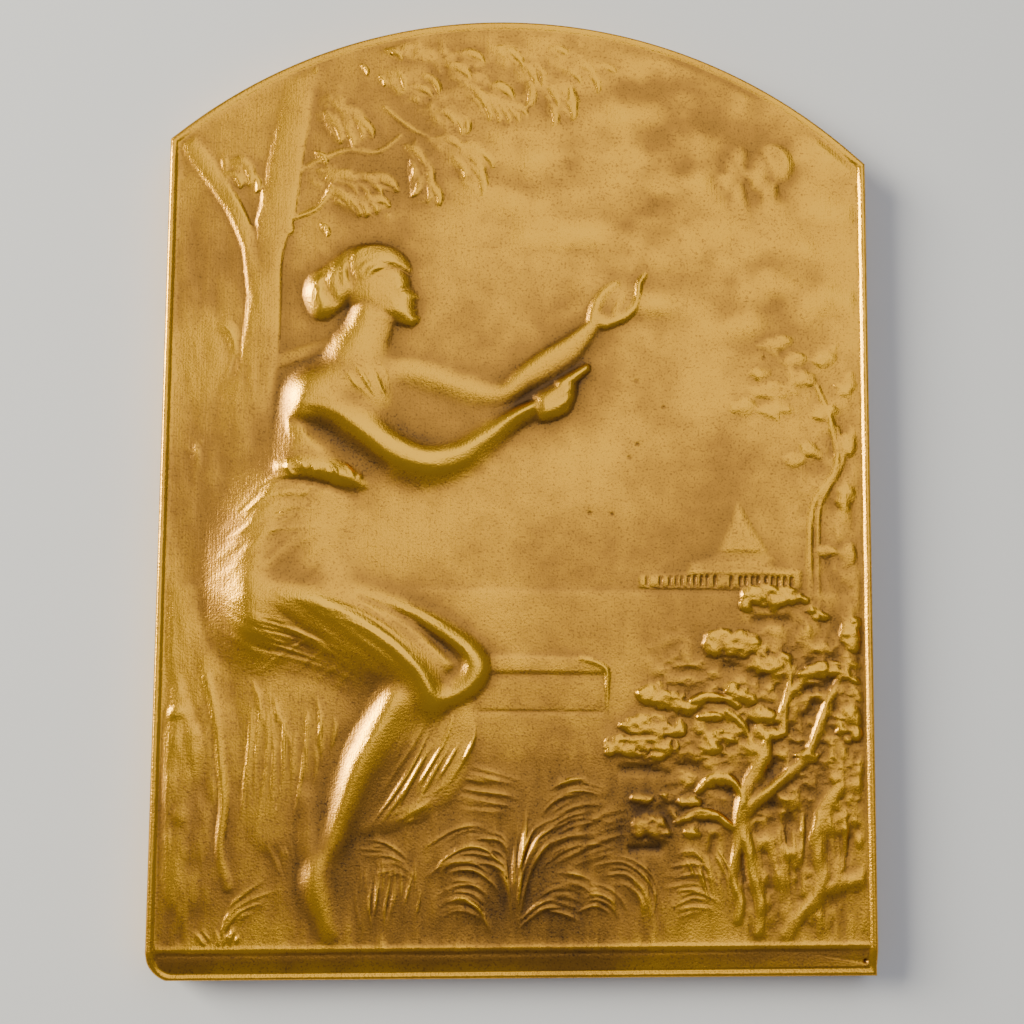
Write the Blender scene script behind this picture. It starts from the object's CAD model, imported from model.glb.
# A small struck plaquette of gilt bronze, lying on its back on a pale table. A seated woman in loose drapery
# reaches up from a stone bench under a tree, towards two heads in the clouds over a river bank with shrubs.
import math

import bmesh
import bpy
import numpy as np
from mathutils import Matrix, Vector


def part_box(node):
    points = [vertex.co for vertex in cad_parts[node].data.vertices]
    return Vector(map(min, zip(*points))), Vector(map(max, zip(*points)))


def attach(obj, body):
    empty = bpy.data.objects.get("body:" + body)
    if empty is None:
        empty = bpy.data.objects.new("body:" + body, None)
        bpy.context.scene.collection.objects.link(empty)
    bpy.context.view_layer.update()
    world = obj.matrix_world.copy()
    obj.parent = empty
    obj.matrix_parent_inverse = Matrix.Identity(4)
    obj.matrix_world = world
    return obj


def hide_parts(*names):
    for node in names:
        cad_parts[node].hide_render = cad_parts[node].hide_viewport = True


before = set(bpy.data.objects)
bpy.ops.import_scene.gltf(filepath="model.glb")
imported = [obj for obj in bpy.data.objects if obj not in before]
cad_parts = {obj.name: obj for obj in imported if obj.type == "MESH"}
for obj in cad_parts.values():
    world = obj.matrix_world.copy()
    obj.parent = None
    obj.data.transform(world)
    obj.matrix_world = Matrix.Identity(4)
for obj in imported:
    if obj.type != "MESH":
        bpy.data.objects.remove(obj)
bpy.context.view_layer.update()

# ---- The blank ----
# The flat bronze blank that the die strikes: straight sides, a shallow arched head and one rounded lower
# corner. The picture's own millimetres run x from the middle and y up from the lower edge.

MM = 0.001
low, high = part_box("plaquette")
WIDTH = (high.x - low.x) / MM
HEIGHT = (high.y - low.y) / MM
ARCH_RISE = HEIGHT / 7
CORNER_RADIUS = 2.0
RIM_WIDTH = 0.6

half_width = WIDTH / 2
arch_radius = (half_width**2 + ARCH_RISE**2) / (2 * ARCH_RISE)
arch_centre = HEIGHT - arch_radius

COLUMNS = 600  # cells of the fine grid that the relief is worked out on
ROWS = 800


def place(u, v, inset):
    """The point at share u across and share v up the blank's outline, drawn in by inset."""
    half = half_width - inset
    x = 2 * half * u - half
    top = arch_centre + np.sqrt((arch_radius - inset) ** 2 - x * x)
    radius = max(CORNER_RADIUS - inset, 0.0)
    from_corner = np.clip(radius - x - half, 0, radius)
    bottom = inset + radius - np.sqrt(radius**2 - from_corner**2)
    return x, bottom + v * (top - bottom)


share_u, share_v = np.meshgrid(np.linspace(0, 1, COLUMNS + 1), np.linspace(0, 1, ROWS + 1))
grid_x, grid_y = place(share_u, share_v, RIM_WIDTH)

# ---- Clouds, heads and the far bank ----
# The faintest relief: banks of cloud with two heads leaning out of them, and a palace with a dome beyond the
# river. It is hardly thicker than paper and was modelled with the fingertip.

# The modeller builds the picture up on a plate with pellets and rolls of wax and draws folds, hair and bark
# into it with a point. A form gives its height over the ground wherever it reaches.
DEEP = -1.0  # what a form says well outside itself
FALL = 1.6  # how steeply a form drops outside its edge
REACH = 1.4  # how far from its middle a form is worked out, in half widths


def spline(nodes, steps=6):
    """A smooth curve through rows of numbers."""
    nodes = np.array(nodes, float)
    if len(nodes) < 3:
        steps = 1
    t = np.linspace(0, 1, steps, endpoint=False)[:, None]
    rows = []
    for i in range(len(nodes) - 1):
        a, b, c, d = (nodes[min(max(k, 0), len(nodes) - 1)] for k in (i - 1, i, i + 1, i + 2))
        rows.append(
            0.5 * (2 * b + (c - a) * t + (2 * a - 5 * b + 4 * c - d) * t**2 + (3 * b - a - 3 * c + d) * t**3)
        )
    return np.vstack(rows + [nodes[-1:]])


def window(points, margin):
    """The rows and columns of the grid that lie round some points."""
    (x0, y0), (x1, y1) = points.min(0) - margin, points.max(0) + margin
    left, right = np.searchsorted(grid_x[0], [x0, x1])
    cols = slice(max(left - 1, 0), right + 1)
    bottom, top = grid_y[0, cols], grid_y[-1, cols]
    first = int(((y0 - bottom) / (top - bottom)).min() * ROWS) - 1
    last = int(((y1 - bottom) / (top - bottom)).max() * ROWS) + 2
    return slice(min(max(first, 0), ROWS), max(last, 1)), cols


def round_section(t):
    return np.where(t < 1, np.maximum(1 - t * t, 0) ** 0.75, FALL * (1 - t))


def crease_section(t):
    return np.where(t < 1, 0.5 + 0.5 * np.cos(np.pi * np.minimum(t, 1)), 0)


def swept(nodes, section, steps=6, lean=0.0):
    """A form along a curve of nodes [x, y, half width, height], its crest leaning to the curve's left."""
    rows = spline(nodes, steps)
    where = window(rows[:, :2], REACH * rows[:, 2].max())
    x, y = grid_x[where], grid_y[where]
    carving = rows[0, 3] < 0
    best = np.zeros(x.shape) if carving else np.full(x.shape, DEEP)
    for (ax, ay, ar, ah), (bx, by, br, bh) in zip(rows[:-1], rows[1:]):
        length = max(math.hypot(bx - ax, by - ay), 1e-6)
        ux, uy = (bx - ax) / length, (by - ay) / length
        t = np.clip(((x - ax) * ux + (y - ay) * uy) / length, 0, 1)
        over_x, over_y = x - ax - (bx - ax) * t, y - ay - (by - ay) * t
        half = ar + (br - ar) * t
        across = (over_y * ux - over_x * uy) / half - lean
        away = np.hypot((over_x * ux + over_y * uy) / half, across / (1 - lean * np.sign(across)))
        height = (ah + (bh - ah) * t) * section(away)
        best = np.minimum(best, height) if carving else np.maximum(best, height)
    return where, best


def limb(*nodes, lean=0.0):
    return swept(nodes, round_section, lean=lean)


def fold(*nodes):
    return swept(nodes, crease_section)


def heading(degrees, reach=1.0):
    """How far a line of the given reach runs across and up."""
    return reach * math.cos(math.radians(degrees)), reach * math.sin(math.radians(degrees))


def dome(cx, cy, rx, ry, degrees, height):
    """An ellipsoid cap, turned by degrees."""
    where = window(np.array([[cx, cy]]), REACH * max(rx, ry))
    c, s = heading(degrees)
    x, y = grid_x[where] - cx, grid_y[where] - cy
    return where, height * round_section(np.hypot((x * c + y * s) / rx, (y * c - x * s) / ry))


def plate(points, height, edge, curved=False):
    """A flat-topped form inside a closed outline, rising over the given edge width."""
    loop = np.array(points, float)
    if curved:
        loop = spline(np.vstack([loop[-1:], loop, loop[:2]]), 4)[4:-5]
    where = window(loop, edge)
    x, y = grid_x[where], grid_y[where]
    nearest = np.full(x.shape, 99.0)
    inside = np.zeros(x.shape, bool)
    for (ax, ay), (bx, by) in zip(np.roll(loop, 1, 0), loop):
        length2 = max((bx - ax) ** 2 + (by - ay) ** 2, 1e-9)
        t = np.clip(((x - ax) * (bx - ax) + (y - ay) * (by - ay)) / length2, 0, 1)
        nearest = np.minimum(nearest, np.hypot(x - ax - (bx - ax) * t, y - ay - (by - ay) * t))
        if ay != by:
            inside ^= ((ay > y) != (by > y)) & (x < ax + (y - ay) * (bx - ax) / (by - ay))
    top = height * np.sin(np.pi / 2 * np.minimum(1, nearest / edge))
    return where, np.where(inside, top, -FALL * nearest)


def layer(height):
    return np.full(grid_x.shape, float(height))


def blend(first, second, fillet):
    """The higher of two heights, with the crease between them filled over the given height."""
    near = np.maximum(fillet - np.abs(first - second), 0) / fillet
    return np.maximum(first, second) + near * near * fillet / 4


def join(target, forms, fillet=0.01):
    """Joins forms to a layer, filling the creases between them."""
    for where, h in forms:
        target[where] = blend(target[where], h, fillet)
    return target


def add(target, forms):
    """Adds shallow ridges, or grooves where their height is negative."""
    for where, h in forms:
        target[where] += np.where(np.abs(h) < abs(DEEP), h, 0)
    return target


SWELLS = 256  # cells before the swelling repeats


def noise(scale_x, scale_y, seed, octaves, turn=0.0):
    """Smooth uneven swelling over the whole grid, from about -1 to 1."""
    draw = np.random.default_rng(seed)
    c, s = math.cos(turn), math.sin(turn)
    total, weight = np.zeros(grid_x.shape), 0.0
    for octave in range(octaves):
        fine = 2.0**octave
        table = draw.uniform(-1, 1, (SWELLS, SWELLS))
        # Each octave is shifted, so that the cells of two never line up
        x = (grid_x * c + grid_y * s) * fine / scale_x + 91.7 * octave + 400
        y = (grid_y * c - grid_x * s) * fine / scale_y + 57.3 * octave + 400
        i, j = np.floor(x).astype(int), np.floor(y).astype(int)
        fx, fy = x - i, y - j
        fx, fy = fx * fx * (3 - 2 * fx), fy * fy * (3 - 2 * fy)
        i0, i1, j0, j1 = i % SWELLS, (i + 1) % SWELLS, j % SWELLS, (j + 1) % SWELLS
        low_row = table[j0, i0] * (1 - fx) + table[j0, i1] * fx
        high_row = table[j1, i0] * (1 - fx) + table[j1, i1] * fx
        total += (low_row * (1 - fy) + high_row * fy) / fine
        weight += 1 / fine
    return total / weight


def ramp(t, start, end):
    s = np.clip((t - start) / (end - start), 0, 1)
    return s * s * (3 - 2 * s)


def wobble(n, reach):
    return reach * math.sin(2.4 * n) * math.cos(1.3 * n)


def spread(heights, reach):
    """Heights averaged over a square of the given reach in cells, three times over."""
    width = 2 * reach + 1
    for _ in range(2 * 3):  # up and down and then, turned over, from side to side
        total = np.cumsum(np.pad(heights, ((reach + 1, reach), (0, 0)), "edge"), 0)
        heights = ((total[width:] - total[:-width]) / width).T
    return heights


ground = layer(0)
cloud_banks = [
    (9, 66.6, 6, 12), (14, 64.6, 5, -15), (6, 63, 6, 5), (9.6, 60, 6, 0), (1.6, 59.4, 5, 0), (5, 57, 6, 5),
    (3, 54.2, 6, 10), (11.4, 55.6, 7, -5), (13.6, 52.4, 7, 4), (20.4, 53.4, 6, -6), (18, 50, 7, 3),
    (22.4, 56.6, 4, 0), (10.6, 48.6, 5, 5), (22.6, 49.4, 4, 0), (3.4, 67.4, 5, 10), (9.6, 63.4, 5, -8),
    (13.2, 61.4, 4, 5), (22.6, 60.6, 3, -30), (13, 58, 4, 0), (10, 57.6, 4, 8), (8.4, 52.4, 4, 0),
    (16.6, 47.4, 4, 6), (6, 49.6, 4, -4), (-1.4, 56.6, 4, 6), (1, 61.6, 4, 0),
]
for bank, (x, y, length, turn) in enumerate(cloud_banks):
    for n in range(3):
        along = (n - 1) * 0.32 * length
        size = 1.9 + wobble(bank + n, 0.6)
        cx, cy = x + along, y + along * math.tan(math.radians(turn)) + wobble(bank + 2 * n, 0.5)
        add(ground, [fold([cx - 0.6 * size, cy, size, 0.05], [cx + 0.6 * size, cy, size, 0.05])])
sky = ramp(grid_y, 44, 49) * ramp(grid_x + 0.6 * (grid_y - 50), -6, 4)
ground += sky * (0.2 * np.maximum(noise(4.6, 3, 5, 3), -0.15) + 0.05 * noise(2.4, 1.8, 8, 2))
near_heads = ramp(np.hypot(grid_x - 17.6, 1.1 * (grid_y - 58.6)), 4.5, 2.2)
ground *= 1 - 0.7 * near_heads

heads = join(layer(0), [
    dome(16, 59.4, 1.85, 1.15, 80, 0.28),
    dome(15.3, 58.4, 1.25, 0.75, 78, 0.27),
    dome(14.75, 58.5, 0.35, 0.4, 0, 0.24),
    limb([16, 57.8, 0.75, 0.22], [16.2, 56.6, 0.8, 0.18], [15.8, 55.4, 1.6, 0.1], [15.4, 54.2, 2, 0.04]),
    dome(18.9, 59.8, 1.7, 1.6, 0, 0.36),
    dome(17.7, 58.9, 1.45, 0.95, 88, 0.34),
    dome(16.85, 58.9, 0.4, 0.45, 0, 0.3),
    limb([18.4, 58, 0.9, 0.28], [18.6, 56.8, 0.85, 0.22], [19, 55.6, 1.8, 0.16], [19.8, 54, 2.6, 0.06]),
], 0.05)
add(heads, [
    fold([17, 59.5, 0.26, -0.08], [17.5, 59.4, 0.3, -0.07], [17.9, 59.4, 0.2, -0.03]),
    fold([16.9, 58.2, 0.18, -0.07], [17.3, 58.2, 0.16, -0.05]),
    fold([17.5, 60.8, 0.3, -0.07], [18.2, 59.9, 0.3, -0.08], [18.7, 58.8, 0.3, -0.08],
         [18.5, 58, 0.3, -0.06]),
    fold([18.2, 61.2, 0.3, 0.05], [19.4, 60.9, 0.35, 0.06], [20, 59.8, 0.35, 0.06], [19.7, 58.6, 0.3, 0.04]),
    fold([14.8, 59.1, 0.24, -0.07], [15.3, 59, 0.26, -0.06]),
    fold([14.7, 57.8, 0.16, -0.06], [15.1, 57.8, 0.16, -0.04]),
    fold([15.3, 60.4, 0.28, -0.06], [16, 59.4, 0.28, -0.07], [16.1, 58.4, 0.28, -0.06]),
])
heads = 0.6 * spread(heads, 1)
ground = spread(ground, 2)
ground = np.maximum(ground, heads) + 0.3 * np.minimum(ground, heads)

palace = join(layer(DEEP), [
    plate([[8.4, 27.5], [8.4, 28.7], [12, 28.9], [12.2, 29.7], [14, 30.1], [18.4, 30.1], [18.6, 29.5],
           [20.8, 29.3], [20.8, 27.5]], 0.1, 0.6),
    plate([[13.8, 29.6], [14.2, 30.6], [14.8, 31.8], [15.2, 32.8], [15.6, 33.9], [15.9, 34.5], [16.3, 33.8],
           [17, 32.6], [17.8, 31.4], [18.4, 30.4], [19.2, 29.6]], 0.12, 1),
])
windows = [9.2, 10.2, 10.9, 11.35, 11.75, 12.25, 12.7, 13.2, 13.6, 14.2, 15.4, 16.1, 16.5, 17, 17.4, 18, 18.5,
           18.9, 19.4, 19.9]
palace = spread(np.maximum(palace, -0.1), 1)
add(palace, [fold([8.6, 28.8, 0.2, 0.03], [11.8, 28.9, 0.2, 0.03], [20.6, 28.9, 0.2, 0.03]),
             fold([13.9, 30.3, 0.3, -0.03], [18.3, 30.3, 0.3, -0.03])])
add(palace, [fold([x, 27.9, 0.16, -0.2], [x, 28.5, 0.16, -0.2]) for x in windows])
river_bank = 0.04 * ramp(27.6 - grid_y, 0, 0.4)
ground = np.maximum.reduce([ground, palace, river_bank])

# ---- The old tree ----
# A beech behind the woman, low and soft, with a forked trunk, twigs and a few sharply cut sprays of leaves.
# Its bark is drawn in with a point, and each loose leaf has a vein down its middle.


def leaf(x, y, length, degrees, height):
    """One pointed leaf, cut crisply at its tip; x, y is its stalk end."""
    c, s = heading(degrees)
    bend = 0.12 * length
    return limb(*[
        [x + along * c * length - bow * s, y + along * s * length + bow * c, half * length, rise * height]
        for along, bow, half, rise in [(0, 0, 0.08, 0.5), (0.35, bend, 0.25, 0.85), (0.7, bend, 0.23, 1),
                                       (1, 0, 0.05, 0.8)]
    ], lean=0.35)


LOBES = 96  # lobes before the pattern repeats


def lobes(size, seed):
    """Round lobes packed side by side over the whole grid: 1 on their tops, 0 in the seams."""
    draw = np.random.default_rng(seed)
    shift_x, shift_y = draw.uniform(0.1, 0.9, (2, LOBES, LOBES))
    column, line = np.floor(grid_x / size).astype(int), np.floor(grid_y / size).astype(int)
    nearest = np.full(grid_x.shape, 9.0)
    for i in (-1, 0, 1):
        for j in (-1, 0, 1):
            a, b = column + i, line + j
            over_x = grid_x / size - a - shift_x[a % LOBES, b % LOBES]
            over_y = grid_y / size - b - shift_y[a % LOBES, b % LOBES]
            nearest = np.minimum(nearest, np.hypot(over_x, 1.2 * over_y))
    return 1 - np.minimum(nearest, 1) ** 2


def foliage(masses, height, seed):
    """Flattened banks of leaves with lobed edges, from low masses joined together."""
    rough = lobes(1.2, seed) + 0.5 * lobes(0.55, seed + 1) + 0.5 * noise(0.5, 0.35, seed + 2, 2)
    bank = np.maximum(masses, -0.5) + height * (1.2 * rough - 1.3)
    return np.where(bank > 0, 1.2 * height * np.tanh(bank / (1.2 * height)), bank)


def between(first, last, count, width, height, seed):
    """Uneven strokes fanned out between two guide lines of equal length in points."""
    draw = np.random.default_rng(seed)
    first, last = spline(first, 4), spline(last, 4)
    out = []
    for n in range(count):
        share = (n + draw.uniform(-0.4, 0.4)) / max(count - 1, 1)
        sway = 0.04 * np.sin(np.linspace(0, draw.uniform(3, 9), len(first)))
        line = first + (last - first) * (share + sway)[:, None]
        start = int(draw.uniform(0, 0.4) * len(line))
        line = line[start:max(int(draw.uniform(0.65, 1) * len(line)), start + 3)]
        swell = np.sin(np.linspace(0.03, 0.97, len(line)) * np.pi)
        wide = width * draw.uniform(0.7, 1.4)
        rows = np.column_stack([line, wide * (0.4 + 0.6 * swell), height * swell * draw.uniform(0.5, 1.4)])
        out.append(swept(rows, crease_section, 1))
    return out


tree = join(layer(0), [
    limb([-20.4, 35, 2.4, 0.06], [-20, 40, 2, 0.16], [-19.2, 44, 1.5, 0.24], [-18.9, 48, 1.3, 0.28],
         [-18.8, 51.6, 1.25, 0.3], [-18.1, 55, 1.4, 0.28], [-17.5, 59, 1.3, 0.24], [-17, 62, 1.2, 0.16],
         [-16.6, 65, 1.1, 0.05], lean=-0.4),
    limb([-19.4, 49, 0.8, 0.24], [-20, 52.4, 0.7, 0.26], [-21.2, 55, 0.7, 0.24], [-22.8, 57.4, 0.75, 0.2],
         [-24.8, 60, 0.8, 0.1]),
    limb([-19.6, 50.6, 0.5, 0.26], [-20.6, 53.6, 0.4, 0.24], [-21.6, 56, 0.35, 0.18], [-22, 58.4, 0.3, 0.08]),
    limb([-17.4, 53.6, 0.6, 0.3], [-17.6, 54.3, 0.55, 0.3]),
    limb([-19.4, 43.2, 0.6, 0.1], [-16.2, 44.3, 0.6, 0.12], [-14.2, 45.1, 0.5, 0.1]),
], 0.06)
for first, last, count, width, height in [
    ([[-16.1, 62], [-16.7, 57], [-17.7, 53], [-17.6, 48], [-18.3, 44.6]],
     [[-17, 62], [-17.6, 57], [-18.4, 53], [-18.4, 48], [-19, 44]], 4, 0.22, 0.07),
    ([[-18.2, 58], [-19.4, 53], [-19.6, 48], [-20.6, 42], [-22, 34]],
     [[-17.4, 58], [-18.6, 53], [-18.6, 47], [-19, 42], [-19, 36]], 8, 0.3, 0.04),
    ([[-24.6, 59.2], [-22.8, 57.5], [-21.5, 55.7], [-20.6, 54], [-19.9, 51]],
     [[-23.8, 59.4], [-22.2, 57.3], [-21, 55.6], [-20, 53.6], [-19.4, 51]], 4, 0.2, 0.1),
    ([[-24.4, 45.8], [-22.8, 46.9], [-20.9, 46.2], [-20.4, 44], [-21.4, 40.6]],
     [[-24.4, 45.2], [-23, 46.2], [-21.6, 45.6], [-21.2, 43.8], [-22, 41]], 4, 0.26, 0.09),
    ([[-25.2, 40.4], [-23.4, 38.6], [-22.8, 37], [-22.6, 33]],
     [[-25.2, 38.6], [-24.2, 37.4], [-23.6, 36], [-23.4, 32]], 4, 0.26, 0.06),
]:
    add(tree, between(first, last, count, width, height, count))
add(tree, [
    fold([-20.4, 57, 0.5, -0.06], [-20.2, 55.8, 0.7, -0.15], [-19.8, 54, 0.4, -0.1]),
    fold([-19.2, 56.6, 0.2, 0.08], [-19.1, 55.2, 0.2, 0.1], [-19.6, 54, 0.2, 0.08]),
    fold([-24.4, 45, 0.9, -0.03], [-22.8, 44.4, 0.9, -0.07], [-22.4, 42, 0.9, -0.03]),
    fold([-17.6, 54.2, 0.3, 0.1], [-15.2, 55.2, 0.3, 0.12], [-14, 57.3, 0.3, 0.12]),
    fold([-16.5, 58, 0.35, 0.08], [-13.4, 59.6, 0.35, 0.1], [-10.9, 59.6, 0.3, 0.1], [-9.2, 60.9, 0.3, 0.08]),
    fold([-10.4, 63, 0.25, 0.08], [-8.4, 61.5, 0.3, 0.12], [-6, 60.4, 0.25, 0.12]),
    fold([-7.2, 62, 0.2, 0.06], [-5.4, 63.6, 0.2, 0.08], [-3.9, 65.2, 0.2, 0.05]),
    *[fold([x, 69.4, 0.5, 0.03], [x + 0.2, 67.6, 0.6, 0.07], [x + 0.1, 66.8, 0.3, 0.03])
      for x in (-8.2, -6.3, -2.8, 0.9, 4)],
])
ground = np.maximum(ground, 0.17 * np.tanh(np.maximum(tree, 0) / 0.18))  # flat on top, firm at the edges
sprays = join(layer(DEEP), [dome(x, y, rx, ry, degrees, 0.13) for x, y, rx, ry, degrees in [
    (-13.2, 61.8, 2.3, 1.4, -52), (-12.6, 57.4, 2.6, 0.8, -8), (-12.6, 55.9, 2.2, 0.9, -22),
    (-7.6, 58.2, 2.6, 0.9, -80), (-5, 59.8, 2.6, 1, -34), (-4.2, 58.2, 2, 0.7, -62),
    (-5.8, 62.4, 2.2, 1.2, -50), (-2.6, 64.3, 2.8, 1.3, -28), (1.2, 65.6, 1.9, 1.2, -50),
    (2.6, 64.6, 2, 1.1, -55), (-5, 66.6, 2.2, 1, -10), (3, 67.2, 2, 1, -20), (-8.8, 64.8, 1.9, 1, -30),
    (-21, 57.6, 1.4, 0.9, -60), (-0.8, 67.4, 2, 0.8, -10), (-8.2, 67.4, 1.8, 0.7, -10),
]], 0.1)
ground = blend(ground, foliage(sprays, 0.12, 71), 0.1)
for x, y, length, degrees in [
    (-14.8, 62.4, 2.5, -62), (-14.1, 63.2, 2.8, -70), (-13.2, 62.9, 2.6, -64), (-12.5, 62, 1.8, -48),
    (-13.6, 61.4, 1.8, -60), (-14.4, 57.6, 2.2, -12), (-12.8, 57.4, 2, -8), (-11.6, 57.6, 2.4, -22),
    (-13.4, 57.2, 1.5, -42), (-12.4, 57.1, 1.5, -50), (-11.6, 57.2, 1.4, -40), (-14.4, 56.5, 2.2, -36),
    (-13.4, 56.3, 2, -50), (-12.6, 56.2, 1.8, -58), (-12, 56.2, 1.7, -48), (-11.8, 55.9, 1.9, -12),
    (-8.8, 60.1, 2, -48), (-7.7, 59.2, 2, -72), (-7.4, 58.2, 2.2, -84), (-7.2, 57.4, 1.9, -62),
    (-7.9, 58, 1.7, -104), (-8.4, 59, 1.4, -90), (-6.4, 60.8, 2, -26), (-5, 60.1, 2.4, -20),
    (-4.6, 59.8, 2.2, -48), (-4.4, 58.9, 2.2, -48), (-3.7, 58.4, 2, -74), (-3.4, 59.9, 1.6, -50),
    (-5.2, 59.2, 1.6, -60), (-4.4, 65, 2, -52), (-3.7, 64.4, 2.3, -62), (-3, 64.3, 2.3, -62),
    (-2.4, 64.1, 2.3, -58), (-1.8, 63.8, 2.1, -50), (-1.3, 63.6, 1.7, -30), (-2.6, 65, 2, -30),
    (-0.2, 66.8, 2, -62), (0.8, 66.8, 1.8, -76), (1.3, 65.4, 2.2, -58), (2.1, 65.2, 2.4, -44),
    (2.7, 64.4, 2, -62), (1.8, 63.8, 1.8, -80), (0.3, 65.4, 2, -98), (3.6, 67, 2, -30), (4.6, 66.4, 1.8, -60),
    (5.4, 66.8, 1.6, -20), (3.2, 65.6, 1.6, -90), (-5.8, 66.4, 2, -30), (-7.6, 65.6, 1.8, -50),
    (-8.6, 64.6, 1.8, -20), (-9.6, 65.8, 1.6, -70), (-4.8, 67.4, 1.8, -20), (-1.6, 67.8, 1.8, -40),
    (1.8, 68, 1.6, -20), (-10.4, 67.4, 1.4, -30), (-21, 58.7, 2.1, -66), (-21.8, 57.6, 1.5, -46),
    (-20, 57.6, 1.4, -74), (-6.4, 62.9, 1.6, -40), (-5.4, 62.6, 1.6, -64), (-4.6, 62.6, 1.4, -82),
    (-16, 66.2, 0.9, -60), (-12.2, 66.2, 0.9, -60), (-10.9, 65.4, 0.9, -60), (-14.9, 54, 1, -60),
    (-15.4, 59.4, 1.2, -50), (3, 66.4, 1.6, -40),
]:
    join(ground, [leaf(x, y, length, degrees, 0.16)], 0.14)
    c, s = heading(degrees)
    add(ground, [fold(*[
        [x + along * c * length, y + along * s * length, half, depth]
        for along, half, depth in [(0.2, 0.1, -0.02), (0.6, 0.12, -0.07), (1, 0.08, -0.03)]
    ])])
far_left = ramp(grid_x, -16, -20) * ramp(grid_y, 62, 52)
ground += far_left * 0.05 * noise(1.1, 4.5, 44, 3, 0.1)

# ---- Sapling, bench and rocks ----
# On the right a thin young tree climbs beside the border. The stone bench shows between the woman's knee and
# the shrub, and broken rock or bark fills the left edge. All of it is low and modelled with a small tool.

right_edge = ramp(grid_x, 19, 23) * ramp(grid_y, 48, 30)
ground += right_edge * 0.05 * noise(0.9, 4, 41, 3)
join(ground, [
    limb([21.3, 26, 0.35, 0.06], [21.3, 31, 0.3, 0.08], [21.7, 34.2, 0.3, 0.09], [23.4, 36.8, 0.3, 0.1],
         [23.1, 39.8, 0.3, 0.1], [22, 42.8, 0.25, 0.08]),
    limb([21.9, 26, 0.2, 0.05], [21.9, 31, 0.2, 0.07], [22.2, 34.2, 0.2, 0.08], [23.9, 37.2, 0.2, 0.08],
         [23.5, 39.8, 0.2, 0.07]),
    plate([[-4, 15.2], [-4, 21.4], [6, 21.4], [6, 15.2]], 0.05, 0.5),
    plate([[-4, 21.3], [-4, 22.9], [5.2, 22.8], [6.6, 22], [6.4, 18.8], [5.9, 21.3]], 0.11, 0.4),
], 0.06)
add(ground, [fold([-3.6, 18.7, 0.2, -0.03], [5.8, 18.7, 0.2, -0.03]),
             fold([4.3, 22.6, 0.3, 0.06], [6.1, 21.9, 0.3, 0.08], [6.25, 20.4, 0.25, 0.08],
                  [6.2, 19, 0.15, 0.04])])
twigs = join(layer(DEEP), [dome(x, y, length / 2, wide / 2, turn, 0.12) for x, y, length, wide, turn in [
    (19, 46, 2.8, 1.5, 12), (20.2, 44.8, 2, 1.3, 15), (21, 43.4, 2.2, 1.3, -15), (18.6, 42.4, 3.6, 1.4, 5),
    (16.4, 41.2, 2.2, 1.4, 5), (18.9, 41, 2.6, 1.3, 5), (20.1, 37.3, 1.8, 1.1, -5), (21.4, 38, 2, 1.2, -20),
    (22.4, 30.5, 2.2, 1.1, 5), (22.6, 45.2, 2.4, 1.6, 20), (22.4, 40.9, 2, 1.2, 10), (24.3, 43, 2.2, 1.4, 60),
    (24, 34.6, 2.4, 1.4, 80), (24.2, 30.4, 2.2, 1.4, 70), (24.4, 38.6, 2.4, 1.2, 80), (17.6, 43.7, 1.6, 1, 0),
]], 0.1)
twigs = spread(foliage(twigs, 0.12, 61), 1)
ground = np.maximum(ground, twigs)
streaks = ramp(grid_x, 18.5, 22) * ramp(grid_y, 47, 40) * ramp(grid_y, 14, 22)
ground += streaks * 0.09 * np.maximum(noise(1, 1.6, 46, 3), -0.3)
rock_side = ramp(grid_x, -20, -22.4) * ramp(grid_y, 24, 20)
ground += rock_side * (0.12 * noise(1.4, 3.4, 42, 3) + 0.06)
join(ground, [
    limb([-22.2, 21, 0.4, 0.14], [-21.5, 18, 0.4, 0.16], [-21, 14.2, 0.4, 0.18], [-20.8, 12, 0.4, 0.18],
         [-21, 9, 0.4, 0.16], [-20.4, 6.5, 0.4, 0.1]),
    dome(-24.2, 18.5, 0.8, 0.6, 20, 0.2),
    dome(-23.2, 17, 0.8, 0.6, 60, 0.18),
    dome(-23.8, 11.4, 0.9, 0.7, 100, 0.18),
], 0.12)

# ---- Grass and shrub ----
# Tufts of long grass arch out of the ground, and a low gnarled shrub spreads in layers in front of the river.

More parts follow.
